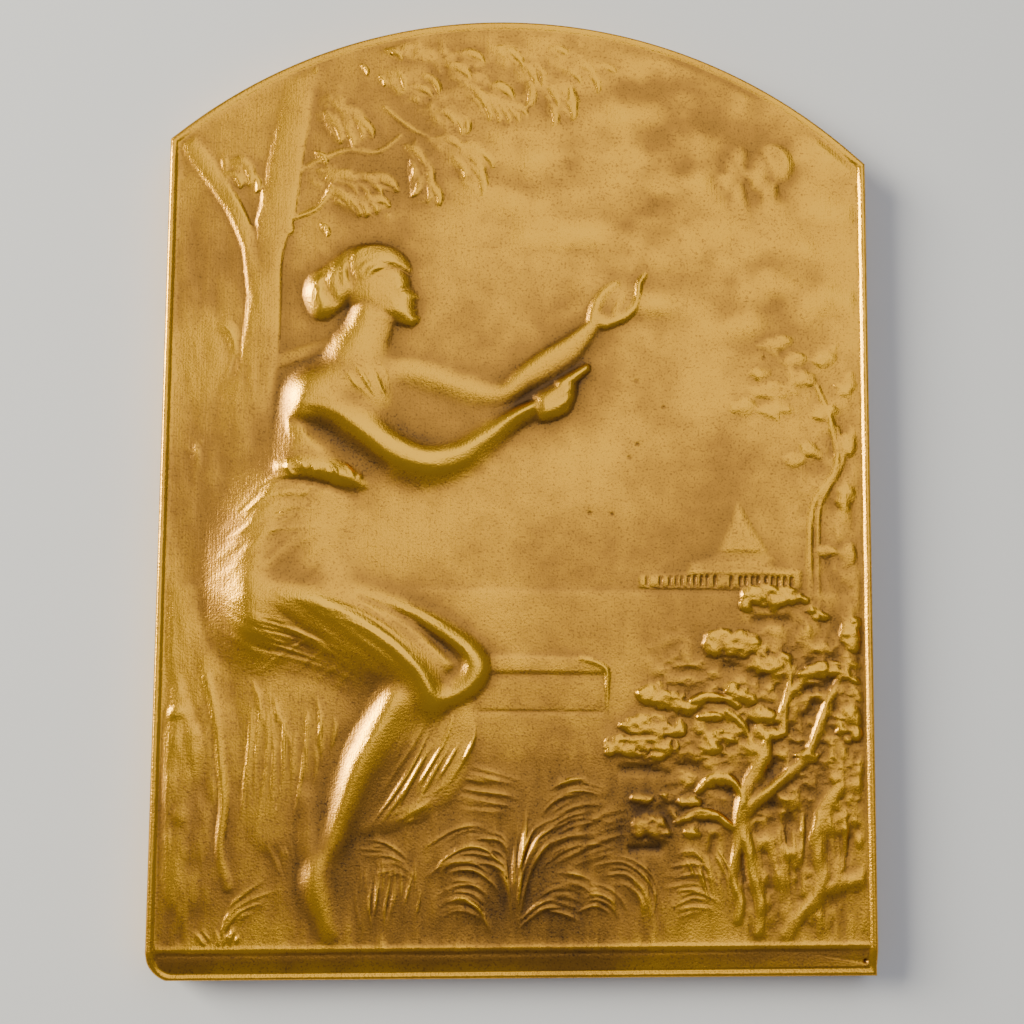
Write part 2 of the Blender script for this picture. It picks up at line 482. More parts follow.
low_ground = ramp(grid_y, 19, 12) * ramp(grid_x, -20, -14)
ground += low_ground * 0.05 * noise(0.6, 2.6, 43, 2)
thicket = ramp(grid_x, 14, 18) * ramp(grid_y, 28, 24) * ramp(grid_y, 2, 5)
ground += thicket * 0.18 * np.maximum(noise(1.1, 1.8, 45, 4), -0.25)
undergrowth = ramp(grid_x, 8, 12) * ramp(grid_y, 26, 22) * ramp(grid_y, 9, 12)
ground += undergrowth * 0.13 * np.maximum(noise(1, 0.6, 47, 4), -0.25)
for first, last, count, width, height in [
    ([[-6, 7.6], [-5.2, 8.7], [-3.5, 9.3], [-1.6, 8.2], [-0.6, 5.4]],
     [[-5, 5.4], [-4, 5.8], [-2.8, 5], [-2, 3.4], [-1.6, 3]], 6, 0.24, 0.12),
    ([[-4, 9.9], [-2.6, 10.4], [-1.2, 10], [-0.7, 8], [-0.5, 4]],
     [[-3.4, 7.6], [-2.2, 7.6], [-1.2, 6.8], [-0.7, 5.2], [-0.5, 4]], 4, 0.22, 0.12),
    ([[-0.4, 3.4], [-0.3, 7], [0.2, 9.6], [1, 11], [3.2, 12.2]],
     [[-0.2, 3.4], [0.6, 7], [1.6, 8.8], [3, 9.6], [6.6, 10.4]], 6, 0.24, 0.13),
    ([[0.4, 11], [1.8, 13.2], [4, 14.4], [7, 13.6]],
     [[0.8, 10.4], [2.4, 12.4], [4.6, 12.8], [7, 12]], 5, 0.22, 0.11),
    ([[0, 4], [1.6, 5.4], [3.2, 5.4], [5, 4.8]], [[0, 3.4], [1.6, 4.6], [3, 4.6], [4.6, 3.8]], 3, 0.22, 0.1),
    ([[3.8, 5.8], [5.4, 6.6], [7.2, 5.6], [8.4, 3]],
     [[4, 4.6], [5.4, 5.2], [6.6, 4.4], [7.2, 3]], 4, 0.22, 0.12),
    ([[-11.8, 8.6], [-11.4, 5.6], [-11.4, 3]], [[-7, 8.6], [-7.2, 5.6], [-7.6, 3]], 13, 0.16, 0.11),
    ([[8, 7], [8.7, 5], [8.8, 2.8]], [[9.6, 7], [9.6, 5], [9.4, 2.8]], 4, 0.18, 0.1),
    ([[-21, 2.6], [-20, 5.4], [-15.8, 8.2]], [[-21, 2.4], [-19.4, 4.6], [-16.4, 5]], 3, 0.24, 0.08),
    ([[-22.6, 3.6], [-21.8, 2.6], [-21.4, 2.3]], [[-19.4, 3.8], [-19.6, 3], [-19.8, 2.3]], 5, 0.2, 0.12),
    ([[11, 9], [12.4, 7.4], [13.2, 5]], [[15, 9], [16, 6.6], [16.4, 3.4]], 8, 0.2, 0.1),
    ([[-5.4, 15.4], [-2, 14.6], [1, 13.6]], [[-4.8, 12], [-2, 11.6], [0, 11.2]], 5, 0.3, 0.06),
    ([[2, 9], [6, 11.6], [9, 12.4]], [[2.4, 7.4], [6, 8.8], [9.4, 9]], 6, 0.3, 0.07),
    ([[18, 11], [18.6, 7], [19.4, 3.4]], [[21, 12], [20.8, 8.6], [20.4, 6]], 6, 0.3, 0.09),
    ([[22.4, 12], [22.8, 9], [23, 7]], [[25, 12.6], [25, 9.6], [24.8, 7.4]], 6, 0.4, 0.07),
    ([[-0.6, 4], [-0.4, 8], [-0.2, 13.4]], [[-0.1, 4], [0.2, 8], [0.9, 13]], 4, 0.26, 0.1),
    ([[-7, 9], [-4.6, 10.6], [-2.4, 10.6], [-0.8, 8.6]],
     [[-6.6, 6.6], [-4.4, 8.2], [-2.4, 8.2], [-0.9, 6.4]], 9, 0.2, 0.06),
    ([[-6.4, 5.8], [-4.6, 6.8], [-2.4, 6.4], [-1, 4]],
     [[-6, 4], [-4.4, 4.8], [-2.8, 4.2], [-1.6, 3]], 8, 0.2, 0.06),
    ([[0.2, 8.6], [2, 11.4], [4.6, 12.6], [8, 12.4]],
     [[0.4, 6.4], [2.6, 8.6], [5, 9.2], [8.4, 8.4]], 10, 0.2, 0.06),
    ([[0.4, 6.2], [2.4, 7.6], [4.8, 7.4], [6.6, 5.8]],
     [[0.6, 4.6], [2.4, 5.8], [4.4, 5.4], [5.8, 3.6]], 8, 0.2, 0.06),
    ([[5, 8.2], [7.4, 8.6], [9.6, 7], [10.6, 3.6]], [[6, 6.4], [7.6, 6.6], [8.8, 5], [9, 2.8]], 8, 0.2, 0.07),
    ([[-12, 10], [-9.6, 9.6], [-7.4, 8]], [[-10.6, 7], [-8.6, 7.4], [-6.6, 6.4]], 8, 0.22, 0.05),
    ([[-19.6, 12], [-17.8, 9.4], [-16.4, 6]], [[-17, 11], [-16, 8.6], [-15.4, 5]], 7, 0.26, 0.05),
    ([[10.4, 8.6], [12.4, 8.8], [14.6, 7.4]], [[10.2, 4], [12.6, 4.6], [15.2, 4]], 9, 0.24, 0.06),
]:
    add(ground, between(first, last, count + 2, 0.85 * width, 0.9 * height, int(10 * first[0][0]) % 97))

boughs = join(layer(DEEP), [
    limb([17.2, 3.2, 0.4, 0.2], [17.3, 5.2, 0.4, 0.28], [16.9, 7, 0.45, 0.32], [16.5, 9, 0.5, 0.34],
         [16, 10.6, 0.6, 0.34], [16.3, 12.8, 0.6, 0.36], [17.2, 14.6, 0.6, 0.36], [17.8, 15.9, 0.5, 0.3],
         [17.9, 16.8, 0.3, 0.26], lean=0.3),
    limb([15.7, 4, 0.3, 0.16], [15.9, 5.4, 0.35, 0.22], [15.4, 7, 0.35, 0.26], [15.7, 9, 0.4, 0.3],
         [16, 11, 0.5, 0.32], [17, 12.3, 0.5, 0.34], [18.6, 13.5, 0.45, 0.34], [20.2, 14.9, 0.45, 0.34],
         [21.2, 16.2, 0.4, 0.3], [21.9, 17.8, 0.4, 0.28], [22.7, 19.8, 0.35, 0.26],
         [23.4, 21.2, 0.25, 0.2], lean=0.3),
    limb([19.3, 3, 0.4, 0.14], [20.4, 4.5, 0.45, 0.2], [21.5, 5.6, 0.6, 0.22], [21.9, 7.4, 0.65, 0.24],
         [21.6, 9.4, 0.6, 0.22], [22, 11.4, 0.6, 0.22], [23, 13, 0.55, 0.2],
         [24.6, 13.6, 0.45, 0.14], lean=0.2),
    limb([21.9, 6, 0.45, 0.16], [23.4, 6.6, 0.5, 0.18], [25, 6.9, 0.45, 0.14]),
    limb([12.8, 13, 0.25, 0.26], [13.7, 14, 0.3, 0.34], [14.9, 14.1, 0.34, 0.34], [15.8, 13.2, 0.35, 0.34],
         [16.2, 12.2, 0.4, 0.34], lean=0.3),
    limb([11.4, 10.9, 0.25, 0.28], [12.7, 11.6, 0.3, 0.34], [14.1, 11.4, 0.3, 0.34], [15.2, 10.6, 0.28, 0.3],
         [15.8, 10.4, 0.25, 0.26], lean=0.3),
    limb([12, 19.2, 0.25, 0.3], [13.3, 19.9, 0.28, 0.34], [14.8, 19.7, 0.28, 0.34], [15.8, 19.2, 0.25, 0.28],
         lean=0.3),
    limb([19.2, 17.6, 0.3, 0.22], [19.5, 19.8, 0.3, 0.22], [20.8, 21.2, 0.25, 0.2]),
    limb([19.5, 22.6, 0.3, 0.16], [19.6, 20.6, 0.25, 0.18], [18.8, 18.2, 0.25, 0.18]),
    limb([16.8, 16.4, 0.3, 0.24], [16.2, 17.8, 0.28, 0.24], [15, 18.8, 0.25, 0.24]),
], 0.12)
boughs = 0.7 * boughs + ramp(boughs, 0, 0.15) * 0.1 * noise(0.7, 1.8, 47, 3, -0.3)
shrub = join(layer(DEEP), [plate(outline, 0.3, 0.6, True) for outline in [
    [[15.8, 27.2], [16.6, 27.9], [18, 28.1], [19.6, 27.9], [21, 27.4], [21.2, 26.8], [20, 26.6], [18.8, 26.1],
     [17.6, 26.4], [16.8, 26], [16, 26.2]],
    [[20.8, 26.2], [21.6, 26.5], [22.8, 26], [22.6, 25.5], [21.4, 25.5]],
    [[13.1, 23.8], [13.8, 24.7], [15, 24.9], [16.2, 24.7], [17.6, 24.1], [17.6, 23.3], [16, 22.6],
     [14.6, 22.5], [13.4, 22.9]],
    [[17, 23.2], [18.4, 23.3], [19.8, 22.8], [19.6, 22.1], [18.6, 21.5], [17.2, 21.6], [16.8, 22.3]],
    [[19.9, 21.2], [21, 22.2], [22.4, 22.5], [23.6, 22.3], [24.6, 21.4], [25.1, 20.8], [23.8, 20.9],
     [22.8, 21.3], [21.4, 21.2]],
    [[8.2, 20.1], [8.9, 20.8], [10, 21], [10.8, 20.4], [12, 20.1], [12.2, 19.2], [11.2, 18.7], [10.2, 19],
     [8.9, 19.2]],
    [[11.6, 19.4], [13.2, 20.1], [14.8, 19.9], [14.6, 19.3], [13.4, 19.3], [12.6, 18.6], [11.8, 18.6]],
    [[12.8, 18.5], [13.8, 19], [14.9, 18.6], [14.2, 18.1], [13.2, 18.1]],
    [[14.3, 20.5], [15.3, 21], [16.5, 20.6], [17.3, 19.8], [17, 19.1], [15.9, 19.1], [14.9, 19.7]],
    [[16.6, 18.9], [17.6, 19.3], [18.6, 18.6], [18.4, 17.9], [17.4, 17.8], [16.7, 18.2]],
    [[17.3, 17.4], [18.4, 17.6], [19.5, 17.4], [19.2, 16.7], [18, 16.5], [17.3, 16.8]],
    [[6.9, 17.6], [7.9, 18.4], [9.6, 18.7], [11, 18.3], [12, 18.1], [11.8, 17.1], [10, 16.8], [8.2, 16.9]],
    [[5.9, 16.2], [6.4, 16.9], [7.2, 16.6], [7, 15.7], [6.3, 15.5]],
    [[6.4, 17], [8.4, 17.2], [10.8, 17], [11, 15.8], [9.8, 15.1], [8, 15.4], [6.6, 15.7]],
    [[12.9, 16.5], [13.9, 17.4], [15.4, 17.3], [15.9, 16.6], [14.8, 16.2], [14, 15.6], [13, 15.8]],
    [[12.8, 13.2], [13.6, 14.2], [14.9, 14.3], [15.7, 13.5], [14.8, 13.5], [13.8, 13.2]],
    [[7.9, 12.6], [8.6, 13.1], [9.6, 12.7], [9.3, 12.2], [8.3, 12.1]],
    [[10, 12.7], [10.7, 13], [11.1, 12], [11.5, 10.9], [11, 10.5], [10.6, 11.6]],
    [[11.2, 12.3], [12, 12.9], [13, 12.6], [12.9, 12], [11.8, 11.8]],
    [[11.6, 11.2], [12.7, 11.8], [14.1, 11.6], [15.2, 10.7], [14.4, 10.8], [13.2, 11], [12, 10.8]],
    [[8, 10.9], [8.8, 11.5], [10.2, 11.4], [10.9, 10.6], [10.6, 9.4], [9.4, 9.5], [8.2, 9.6]],
    [[11.7, 10.5], [12.6, 10.6], [13.1, 9.9], [12.4, 9.6], [11.8, 9.9]],
    [[20, 15.7], [21, 16.2], [22, 15.8], [21.6, 15.2], [20.5, 15.2]],
    [[22.8, 18], [23.8, 19.4], [25, 19.2], [25, 17], [23.8, 16.6]],
    [[23.4, 24.6], [24.2, 25.8], [25.2, 25.4], [25.2, 23.4], [24, 23.2]],
]], 0.1)
ground = blend(ground, foliage(shrub, 0.25, 63), 0.12)
ground = blend(ground, boughs, 0.2)
for x, y, reach, width, degrees in [
    (14.6, 13.2, 0.5, 0.6, -20), (13.6, 10.9, 0.5, 0.55, 0), (15, 16.4, 0.5, 0.6, -20),
    (14.2, 19.4, 0.5, 0.45, 0), (18.2, 14.8, 0.6, 0.6, 50), (19.9, 17.2, 0.5, 0.7, 90), (24, 9.4, 1, 0.7, 70),
    (18.4, 11.4, 0.6, 0.8, 80), (13.9, 9.2, 0.5, 0.5, 80), (19.4, 10.4, 1, 0.6, 90),
    (12, 14.9, 0.8, 0.7, -10), (16.6, 17.4, 0.5, 0.6, 60), (21.2, 18.8, 0.7, 0.7, 60),
    (17.9, 7.4, 1.2, 0.5, 98), (9, 9, 1, 0.5, 0), (8.6, 14.6, 1.2, 0.6, 0), (16.2, 7.6, 0.9, 0.3, 95),
    (22, 20.6, 1, 0.6, 10), (18.4, 25.4, 1.2, 0.6, 0), (15.8, 21.8, 1, 0.6, -15),
]:
    c, s = heading(degrees, reach)
    add(ground, [fold([x - c, y - s, width, -0.09], [x + c, y + s, width, -0.09])])
for first, last, count, size, seed in [
    ([[6.8, 17.4], [6.2, 16.6], [6.6, 15.6]], [[10.8, 17.2], [11, 16], [10.2, 15]], 9, 0.24, 3),
    ([[7, 17], [6.8, 16], [7.4, 15.2]], [[10.2, 17.4], [10.6, 16.4], [10.9, 15.4]], 6, 0.2, 4),
]:
    join(ground, between(first, last, count, size, size, seed), 0.1)

# ---- The seated woman ----
# The highest relief: a young woman seen from her right side, leaning forward with both arms raised. Her face
# is a calm general one. Thin cloth clings to her back and legs and hangs from her lap to the ground.


CREST = 0.12  # share of its half width over which a ridge stays level
SLOPE = 1.14  # brings it down to the ground at its edge


def ridge_section(t):
    return np.where(t < 1, 1 - SLOPE * np.maximum(t - CREST, 0), FALL * (1 - t))


def flank(lean, *nodes):
    """A limb with a drawn crest, from which it falls away evenly."""
    return swept(nodes, ridge_section, lean=lean)


figure = join(layer(DEEP), [
    plate([[-12, 47.3], [-13, 45.8], [-14.5, 44.4], [-16.2, 43.2], [-17.2, 41.4], [-17.6, 39.5], [-18, 37.2],
           [-18.5, 35.5], [-20, 34], [-21.4, 32], [-22.3, 30], [-22.4, 27], [-21.9, 25.5], [-20.4, 24.6],
           [-18.2, 24.4], [-15, 24.4], [-12.6, 25], [-11.4, 26.4], [-11.7, 28], [-12.6, 30], [-12.5, 32.2],
           [-12, 34.4], [-11, 36.4], [-9.9, 38.5], [-9.8, 41], [-10.1, 43.5], [-9.9, 45.4],
           [-9.5, 46.6]], 0.4, 2.4, True),
])
# The far arm, with its open hand
join(figure, [
    limb([-10, 43.3, 0.95, 0.3], [-7.5, 43.1, 0.9, 0.3], [-5.2, 42.4, 0.88, 0.3], [-3.4, 41.9, 0.88, 0.3],
         [-1.6, 41.7, 0.8, 0.3], [0.3, 43, 1.05, 0.34], [2, 44.1, 1.2, 0.35], [3.3, 45, 1.1, 0.33],
         [4.4, 46.1, 0.85, 0.3], [5.1, 46.9, 0.65, 0.27], lean=0.3),
    plate([[4.7, 46.9], [4.8, 48.4], [5.3, 49.4], [6.2, 50.1], [7.4, 50], [7.9, 49], [8.4, 48.2], [7, 47.2],
           [5.6, 46.6]], 0.13, 0.6, True),
    dome(5.7, 47.4, 1, 0.7, 35, 0.28),
    limb([5.2, 47.4, 0.65, 0.28], [5.4, 48.5, 0.62, 0.28], [6, 49.5, 0.5, 0.27], [6.9, 50.2, 0.34, 0.2]),
    limb([6, 47.1, 0.5, 0.27], [7.4, 47.7, 0.5, 0.28], [8.2, 48.4, 0.45, 0.28], [8.5, 49.3, 0.38, 0.27],
         [8.6, 50.2, 0.32, 0.22], [9.1, 51, 0.24, 0.14]),
    limb([6.8, 47.9, 0.4, 0.24], [7.1, 48.7, 0.34, 0.24], [7.5, 49.4, 0.26, 0.18]),
    limb([8, 51.3, 0.2, 0.06], [8.6, 52.6, 0.25, 0.08], [8.9, 54, 0.2, 0.04]),
], 0.08)
# Shoulders, back, hip and legs
join(figure, [
    limb([-11, 47.2, 1.7, 0.46], [-11.5, 45.6, 1.9, 0.5], [-12.2, 44, 2.4, 0.54], lean=-0.2),
    limb([-11.6, 42.6, 2, 0.6], [-13.4, 42.2, 2, 0.72], [-15.2, 41.5, 1.9, 0.82]),
    dome(-11.6, 42, 2.8, 2, -50, 0.6),
    flank(-0.35, [-15.6, 41, 1.8, 0.8], [-15.2, 38, 2.7, 0.5], [-16, 35, 3.5, 0.5], [-17.3, 32, 4.2, 0.62],
          [-17.8, 29, 4.5, 0.8], [-18, 26.6, 4.2, 0.94], [-17.8, 25.6, 4, 0.96]),
    limb([-14.4, 26.6, 2, 0.46], [-10.8, 25.4, 2, 0.48], [-7.6, 23.8, 2, 0.5], [-5.2, 22.4, 1.8, 0.5]),
    limb([-14, 27.4, 1, 0.42], [-10.4, 26.2, 1.1, 0.54], [-8.2, 25.4, 1.1, 0.62], [-6.2, 24.5, 1.1, 0.68],
         [-4.6, 23.5, 1.1, 0.72], [-3.4, 22.4, 1.1, 0.72], [-3.2, 21.5, 1, 0.7], [-3.8, 20.5, 0.9, 0.66],
         [-5, 19.8, 0.8, 0.64], [-6, 19.4, 0.7, 0.6], lean=0.4),
    flank(0.64, [-18.8, 25.2, 3.4, 0.96], [-15, 24.8, 3, 1.06], [-11.4, 23, 2.8, 1.08],
          [-8.8, 21.4, 2.5, 1.06], [-7.7, 20.4, 2, 0.98], [-7.2, 19.6, 1.7, 0.92], [-7, 19.1, 1.4, 0.8]),
    flank(-0.4, [-8.3, 19.2, 2.3, 0.8], [-9.8, 16.4, 2.3, 0.76], [-11.1, 14.2, 1.9, 0.7],
          [-12, 12.2, 1.4, 0.62], [-12.8, 10.3, 1, 0.56], [-13.4, 8.6, 0.8, 0.52]),
    limb([-14.1, 7.8, 0.95, 0.48], [-14.3, 6.8, 1.2, 0.48], [-14.1, 5.6, 1.05, 0.44], [-13.7, 4.4, 0.8, 0.38],
         [-13.4, 3, 0.55, 0.3], lean=-0.2),
    limb([-15.3, 13, 0.45, 0.18], [-14.9, 11.2, 0.5, 0.2], [-15, 9.2, 0.6, 0.26], [-14.6, 8.4, 0.6, 0.3]),
], 0.2)
# The near arm, its hand half closed with one finger pointing up
join(figure, [
    flank(0.4, [-15.4, 40.9, 1.7, 0.86], [-12.6, 39.4, 1.7, 0.88], [-9.6, 37.3, 1.7, 0.86],
          [-6.9, 36.3, 1.5, 0.8]),
    flank(0.4, [-8, 36.6, 1.5, 0.76], [-6.6, 36.5, 1.5, 0.76], [-4.6, 37, 1.3, 0.7], [-2.6, 38.4, 1.1, 0.62],
         [-0.6, 39.8, 0.9, 0.56], [0.8, 40.6, 0.8, 0.52]),
    plate([[0.6, 41.5], [2, 42.6], [3.2, 43.2], [4, 42.9], [4.1, 42], [3.9, 41.2], [3.5, 40.4], [2.4, 39.8],
           [1.1, 39.7]], 0.5, 1, True),
    limb([2.8, 42.5, 0.5, 0.46], [3.9, 43.2, 0.45, 0.42], [4.7, 43.8, 0.35, 0.34]),
], 0.15)
add(figure, [
    fold([2.3, 41.7, 0.15, -0.03], [3, 42.2, 0.17, -0.12], [3.8, 42.7, 0.15, -0.05]),
    fold([2.4, 41.1, 0.15, -0.03], [3.1, 41.6, 0.17, -0.12], [3.9, 42, 0.15, -0.05]),
    fold([2.6, 40.5, 0.15, -0.03], [3.2, 40.9, 0.17, -0.1], [3.7, 41.2, 0.15, -0.05]),
])
body = ramp(grid_x, 0, -3) * ramp(grid_y, 46, 43)  # arms and hands beyond it keep their crisper edges
figure = spread(np.maximum(figure, -0.6), 1)
figure += body * (spread(figure, 5) - figure)

# Head and hair: short waved locks drawn back from the forehead into a soft knot
CHIN = (-7.4, 46.9)
FACE_HEIGHT = 4.3
face_lean = math.radians(107)


def on_face(up, out):
    """A point of the head: share up from chin to hairline, and millimetres forward."""
    return [CHIN[0] + FACE_HEIGHT * up * math.cos(face_lean) + out * math.sin(face_lean),
            CHIN[1] + FACE_HEIGHT * up * math.sin(face_lean) - out * math.cos(face_lean)]


profile = [on_face(up, out) for up, out in [
    (-0.05, -0.9), (-0.01, -0.3), (0.04, -0.03), (0.09, -0.02), (0.15, -0.14), (0.2, 0.02), (0.24, 0.03),
    (0.265, -0.05), (0.29, 0.07), (0.33, 0.05), (0.37, 0.04), (0.4, 0.36), (0.42, 0.42), (0.46, 0.34),
    (0.62, 0.03), (0.66, 0.02), (0.72, 0.1), (0.85, 0.1), (1, -0.1)]]
join(figure, [
    plate([*profile, [-10.6, 52], [-12.6, 50.6], [-12.2, 48.2], [-10.8, 47]], 0.44, 1.1),
    dome(-11.2, 49.6, 2.9, 2.3, 150, 0.5),
], 0.12)
for stroke in [
    [(0.61, -0.45, 0.24, -0.05), (0.6, -1, 0.26, -0.05), (0.6, -1.4, 0.2, -0.02)],
    [(0.57, -0.5, 0.13, 0.05), (0.565, -0.8, 0.15, 0.06), (0.57, -1.1, 0.11, 0.02)],
    [(0.67, -0.15, 0.14, 0.03), (0.69, -0.8, 0.16, 0.04), (0.66, -1.4, 0.14, 0.01)],
    [(0.41, -0.15, 0.15, 0.04), (0.4, -0.35, 0.15, 0.03)],
    [(0.27, -0.02, 0.1, -0.04), (0.275, -0.5, 0.1, -0.03)],
    [(0.4, -1.5, 0.8, 0.04), (0.5, -1.7, 0.8, 0.04)],
    [(0.03, -0.7, 0.35, 0.04), (0.1, -1.8, 0.4, 0.05), (0.3, -2.9, 0.4, 0.04)],
]:
    add(figure, [fold(*[[*on_face(up, out), half, height] for up, out, half, height in stroke])])
hair = join(layer(-0.6), [
    plate([[-8.1, 50.5], [-8.3, 51.4], [-9, 52.2], [-10.2, 52.7], [-12.4, 52.6], [-13.4, 52], [-14.3, 51.2],
           [-15.5, 50.2], [-16.1, 49], [-15.9, 47.8], [-15.2, 46.8], [-14.2, 46.8], [-13.4, 47.4],
           [-12.4, 48.2], [-11.4, 48.4], [-10.5, 48.2], [-10.4, 49.4], [-9.8, 50.1],
           [-9, 50.3]], 0.46, 1.3, True),
    dome(-11.4, 50.5, 2.6, 1.6, 20, 0.54),
    dome(-14.6, 48.8, 1.3, 1.7, 10, 0.44),
])
for n, (first, last, count) in enumerate([
    ([[-8.2, 50.9], [-9, 52.1], [-10.8, 52.6], [-12.6, 51.8], [-13.2, 50.4], [-12.4, 49.2]],
     [[-8.7, 50.4], [-9.4, 51], [-10.6, 51], [-11.5, 50.6], [-11.6, 49.8], [-11.2, 49]], 7),
    ([[-9, 50.2], [-10.4, 50.9], [-12, 50], [-11.6, 48.6]],
     [[-9.6, 49.8], [-10.4, 50], [-10.9, 49.4], [-10.6, 48.8]], 5),
    ([[-12.8, 52.4], [-14.3, 51.4], [-14.4, 49.6], [-13.4, 48]],
     [[-12.6, 51.6], [-13.1, 50.9], [-12.9, 49.6], [-12.4, 48.6]], 6),
    ([[-14.4, 50.8], [-15.9, 50], [-16.2, 48.4], [-15.6, 47]],
     [[-14.4, 49.8], [-14.8, 49.2], [-14.9, 48.4], [-14.6, 47.4]], 6),
]):
    add(hair, between(first, last, count, 0.22, 0.09, 20 + n))
add(hair, [
    fold([-12.4, 52.4, 0.3, -0.05], [-12.9, 50.9, 0.35, -0.16], [-12.2, 49.2, 0.4, -0.14]),
    fold([-14.3, 51, 0.3, -0.05], [-14.5, 49.6, 0.35, -0.16], [-13.8, 48.2, 0.4, -0.12]),
    fold([-9.6, 50.4, 0.25, -0.06], [-10.7, 50.4, 0.3, -0.1], [-11, 49.4, 0.3, -0.08]),
])
figure = np.maximum(figure, spread(hair, 1))

# Drapery: thin cloth with fine uneven folds
cloth = join(layer(DEEP), [
    plate([[-21.6, 24], [-20.6, 20], [-20, 12], [-19, 8.6], [-15.8, 8.6], [-15, 12], [-13.4, 15.5],
           [-9.6, 19.5], [-12, 23]], 0.1, 1.6, True),
    plate([[-8, 20], [-3.6, 20.4], [-2.8, 18.2], [-3, 15.2], [-4.6, 12.2], [-8, 10.3], [-11.8, 9.9],
           [-10.6, 14]], 0.14, 1.2, True),
])
for first, last, count, width, height in [
    ([[-19.8, 22], [-19.4, 18.6], [-19.4, 14], [-19.6, 9]],
     [[-14.6, 20], [-14.4, 17], [-14, 14], [-15.4, 9]], 14, 0.2, 0.07),
    ([[-19.4, 21.4], [-18.6, 19], [-17.4, 16]], [[-13.6, 19], [-13.4, 17], [-13.4, 15]], 6, 0.26, 0.07),
    ([[-6.4, 18.8], [-8.2, 15.4], [-10, 12.2], [-11.4, 10]],
     [[-3.2, 19.4], [-3.2, 17], [-4.2, 14.4], [-6.4, 11.4]], 12, 0.22, 0.09),
    ([[-11.4, 10], [-9, 10.4], [-6.6, 11.4], [-4.2, 13]],
     [[-10.8, 11], [-8.8, 11.6], [-6.8, 12.8], [-4.4, 14.4]], 4, 0.24, 0.06),
]:
    add(cloth, between(first, last, count, width, height, count))
ground = np.maximum(ground, cloth)
on_body = ramp(figure, 0.1, 0.4)
at_waist = ramp(grid_y, 37, 34) * ramp(grid_y, 25, 29)
over_thighs = ramp(grid_y, 29, 25) * ramp(grid_y - 0.6 * grid_x, 26, 28)
wrinkles = at_waist * noise(2.6, 0.55, 51, 3, 0.75) + over_thighs * noise(3, 0.5, 52, 3, -0.6)
figure += on_body * 0.05 * wrinkles
for first, last, count, width, height in [
    ([[-13.6, 43.9], [-12.2, 42.1], [-10.2, 40.2]],
     [[-10.6, 43.9], [-9.9, 42.4], [-9.3, 40.8]], 6, 0.18, 0.07),
    ([[-17.4, 40.4], [-17, 39], [-16.6, 37.4]], [[-14, 38], [-13.4, 37.4], [-12.8, 36.8]], 5, 0.2, 0.05),
    ([[-17.2, 36.9], [-16.6, 35.9], [-16.4, 35.1]],
     [[-12.2, 36.3], [-11.6, 35.4], [-11.4, 34.4]], 7, 0.2, 0.11),
    ([[-20.6, 33], [-18, 35.4], [-13.6, 35.4]], [[-21.6, 30], [-18.4, 31.6], [-13.8, 32]], 8, 0.3, 0.04),
    ([[-15.6, 27.4], [-12, 26.6], [-8.6, 24.4], [-6.2, 21.4]],
     [[-14.6, 25.6], [-11.6, 24.8], [-8.8, 23], [-6.8, 20.6]], 6, 0.16, 0.04),
    ([[-20.6, 26], [-16, 24.6], [-11, 22]], [[-19.6, 22.6], [-15.4, 21.4], [-10.4, 19.4]], 14, 0.18, 0.05),
    ([[-20.4, 21.6], [-18, 22.4], [-15, 24.8]], [[-13, 18.4], [-11, 19.6], [-8.6, 22]], 15, 0.2, 0.045),
    ([[-13, 28], [-8, 26.2], [-4, 23.8], [-2.8, 21.4]],
     [[-12, 26.6], [-8, 25], [-5, 23.2], [-4, 21.2]], 5, 0.16, 0.04),
    ([[-13.2, 14], [-12.2, 16.8], [-9.8, 19.4]], [[-9, 13.6], [-7.8, 16.2], [-6.4, 18.6]], 5, 0.16, 0.03),
]:
    add(figure, between(first, last, count, width, height, count + 1))
add(figure, [
    fold([-11.6, 26.8, 0.35, -0.06], [-9.4, 25.9, 0.5, -0.14], [-7.2, 24.6, 0.65, -0.22],
         [-5.4, 23.2, 0.8, -0.34], [-4.5, 22.2, 0.9, -0.24], [-4.9, 21.4, 0.6, -0.1]),
    fold([-17.4, 36, 0.8, 0.12], [-15.2, 36.1, 1.1, 0.3], [-13, 35.5, 1.1, 0.34], [-11.5, 34.9, 0.8, 0.26]),
    fold([-16.4, 26.8, 0.5, 0.02], [-14, 26.2, 0.7, 0.08], [-12, 25.4, 0.7, 0.1], [-10, 24, 0.7, 0.1],
         [-8.5, 22.7, 0.7, 0.1], [-7.3, 21.5, 0.7, 0.1], [-6.5, 20, 0.6, 0.06]),
    fold([-16, 40.7, 0.5, 0.03], [-13.6, 40, 0.7, 0.08], [-11.5, 38.5, 0.7, 0.08], [-9.6, 37, 0.7, 0.08],
         [-7.6, 36.3, 0.7, 0.08], [-5.4, 36.2, 0.6, 0.06], [-3.6, 37, 0.5, 0.03]),
    fold([-16.2, 39.4, 0.8, -0.12], [-14.4, 38.5, 1.3, -0.34], [-12.4, 37.2, 1.4, -0.36],
         [-10.4, 36, 1.2, -0.2]),
    fold([-17.6, 34.9, 0.4, -0.04], [-14.8, 34.9, 0.5, -0.1], [-12, 33.9, 0.4, -0.06]),
])

# ---- The struck piece ----
# Struck from a gilt bronze blank: the picture with a thin raised fillet on three sides and a plain band
# below, a bevelled edge, and a plain sunk back inside a flat border.

FIELD = 2.7  # thickness at the plain ground of the picture
BAND_TOP = 2.1  # upper edge of the plain band under the picture
BAND_DROP = 0.1  # how far the band lies below that ground
TRIANGLES = 140000  # what the picture is thinned to

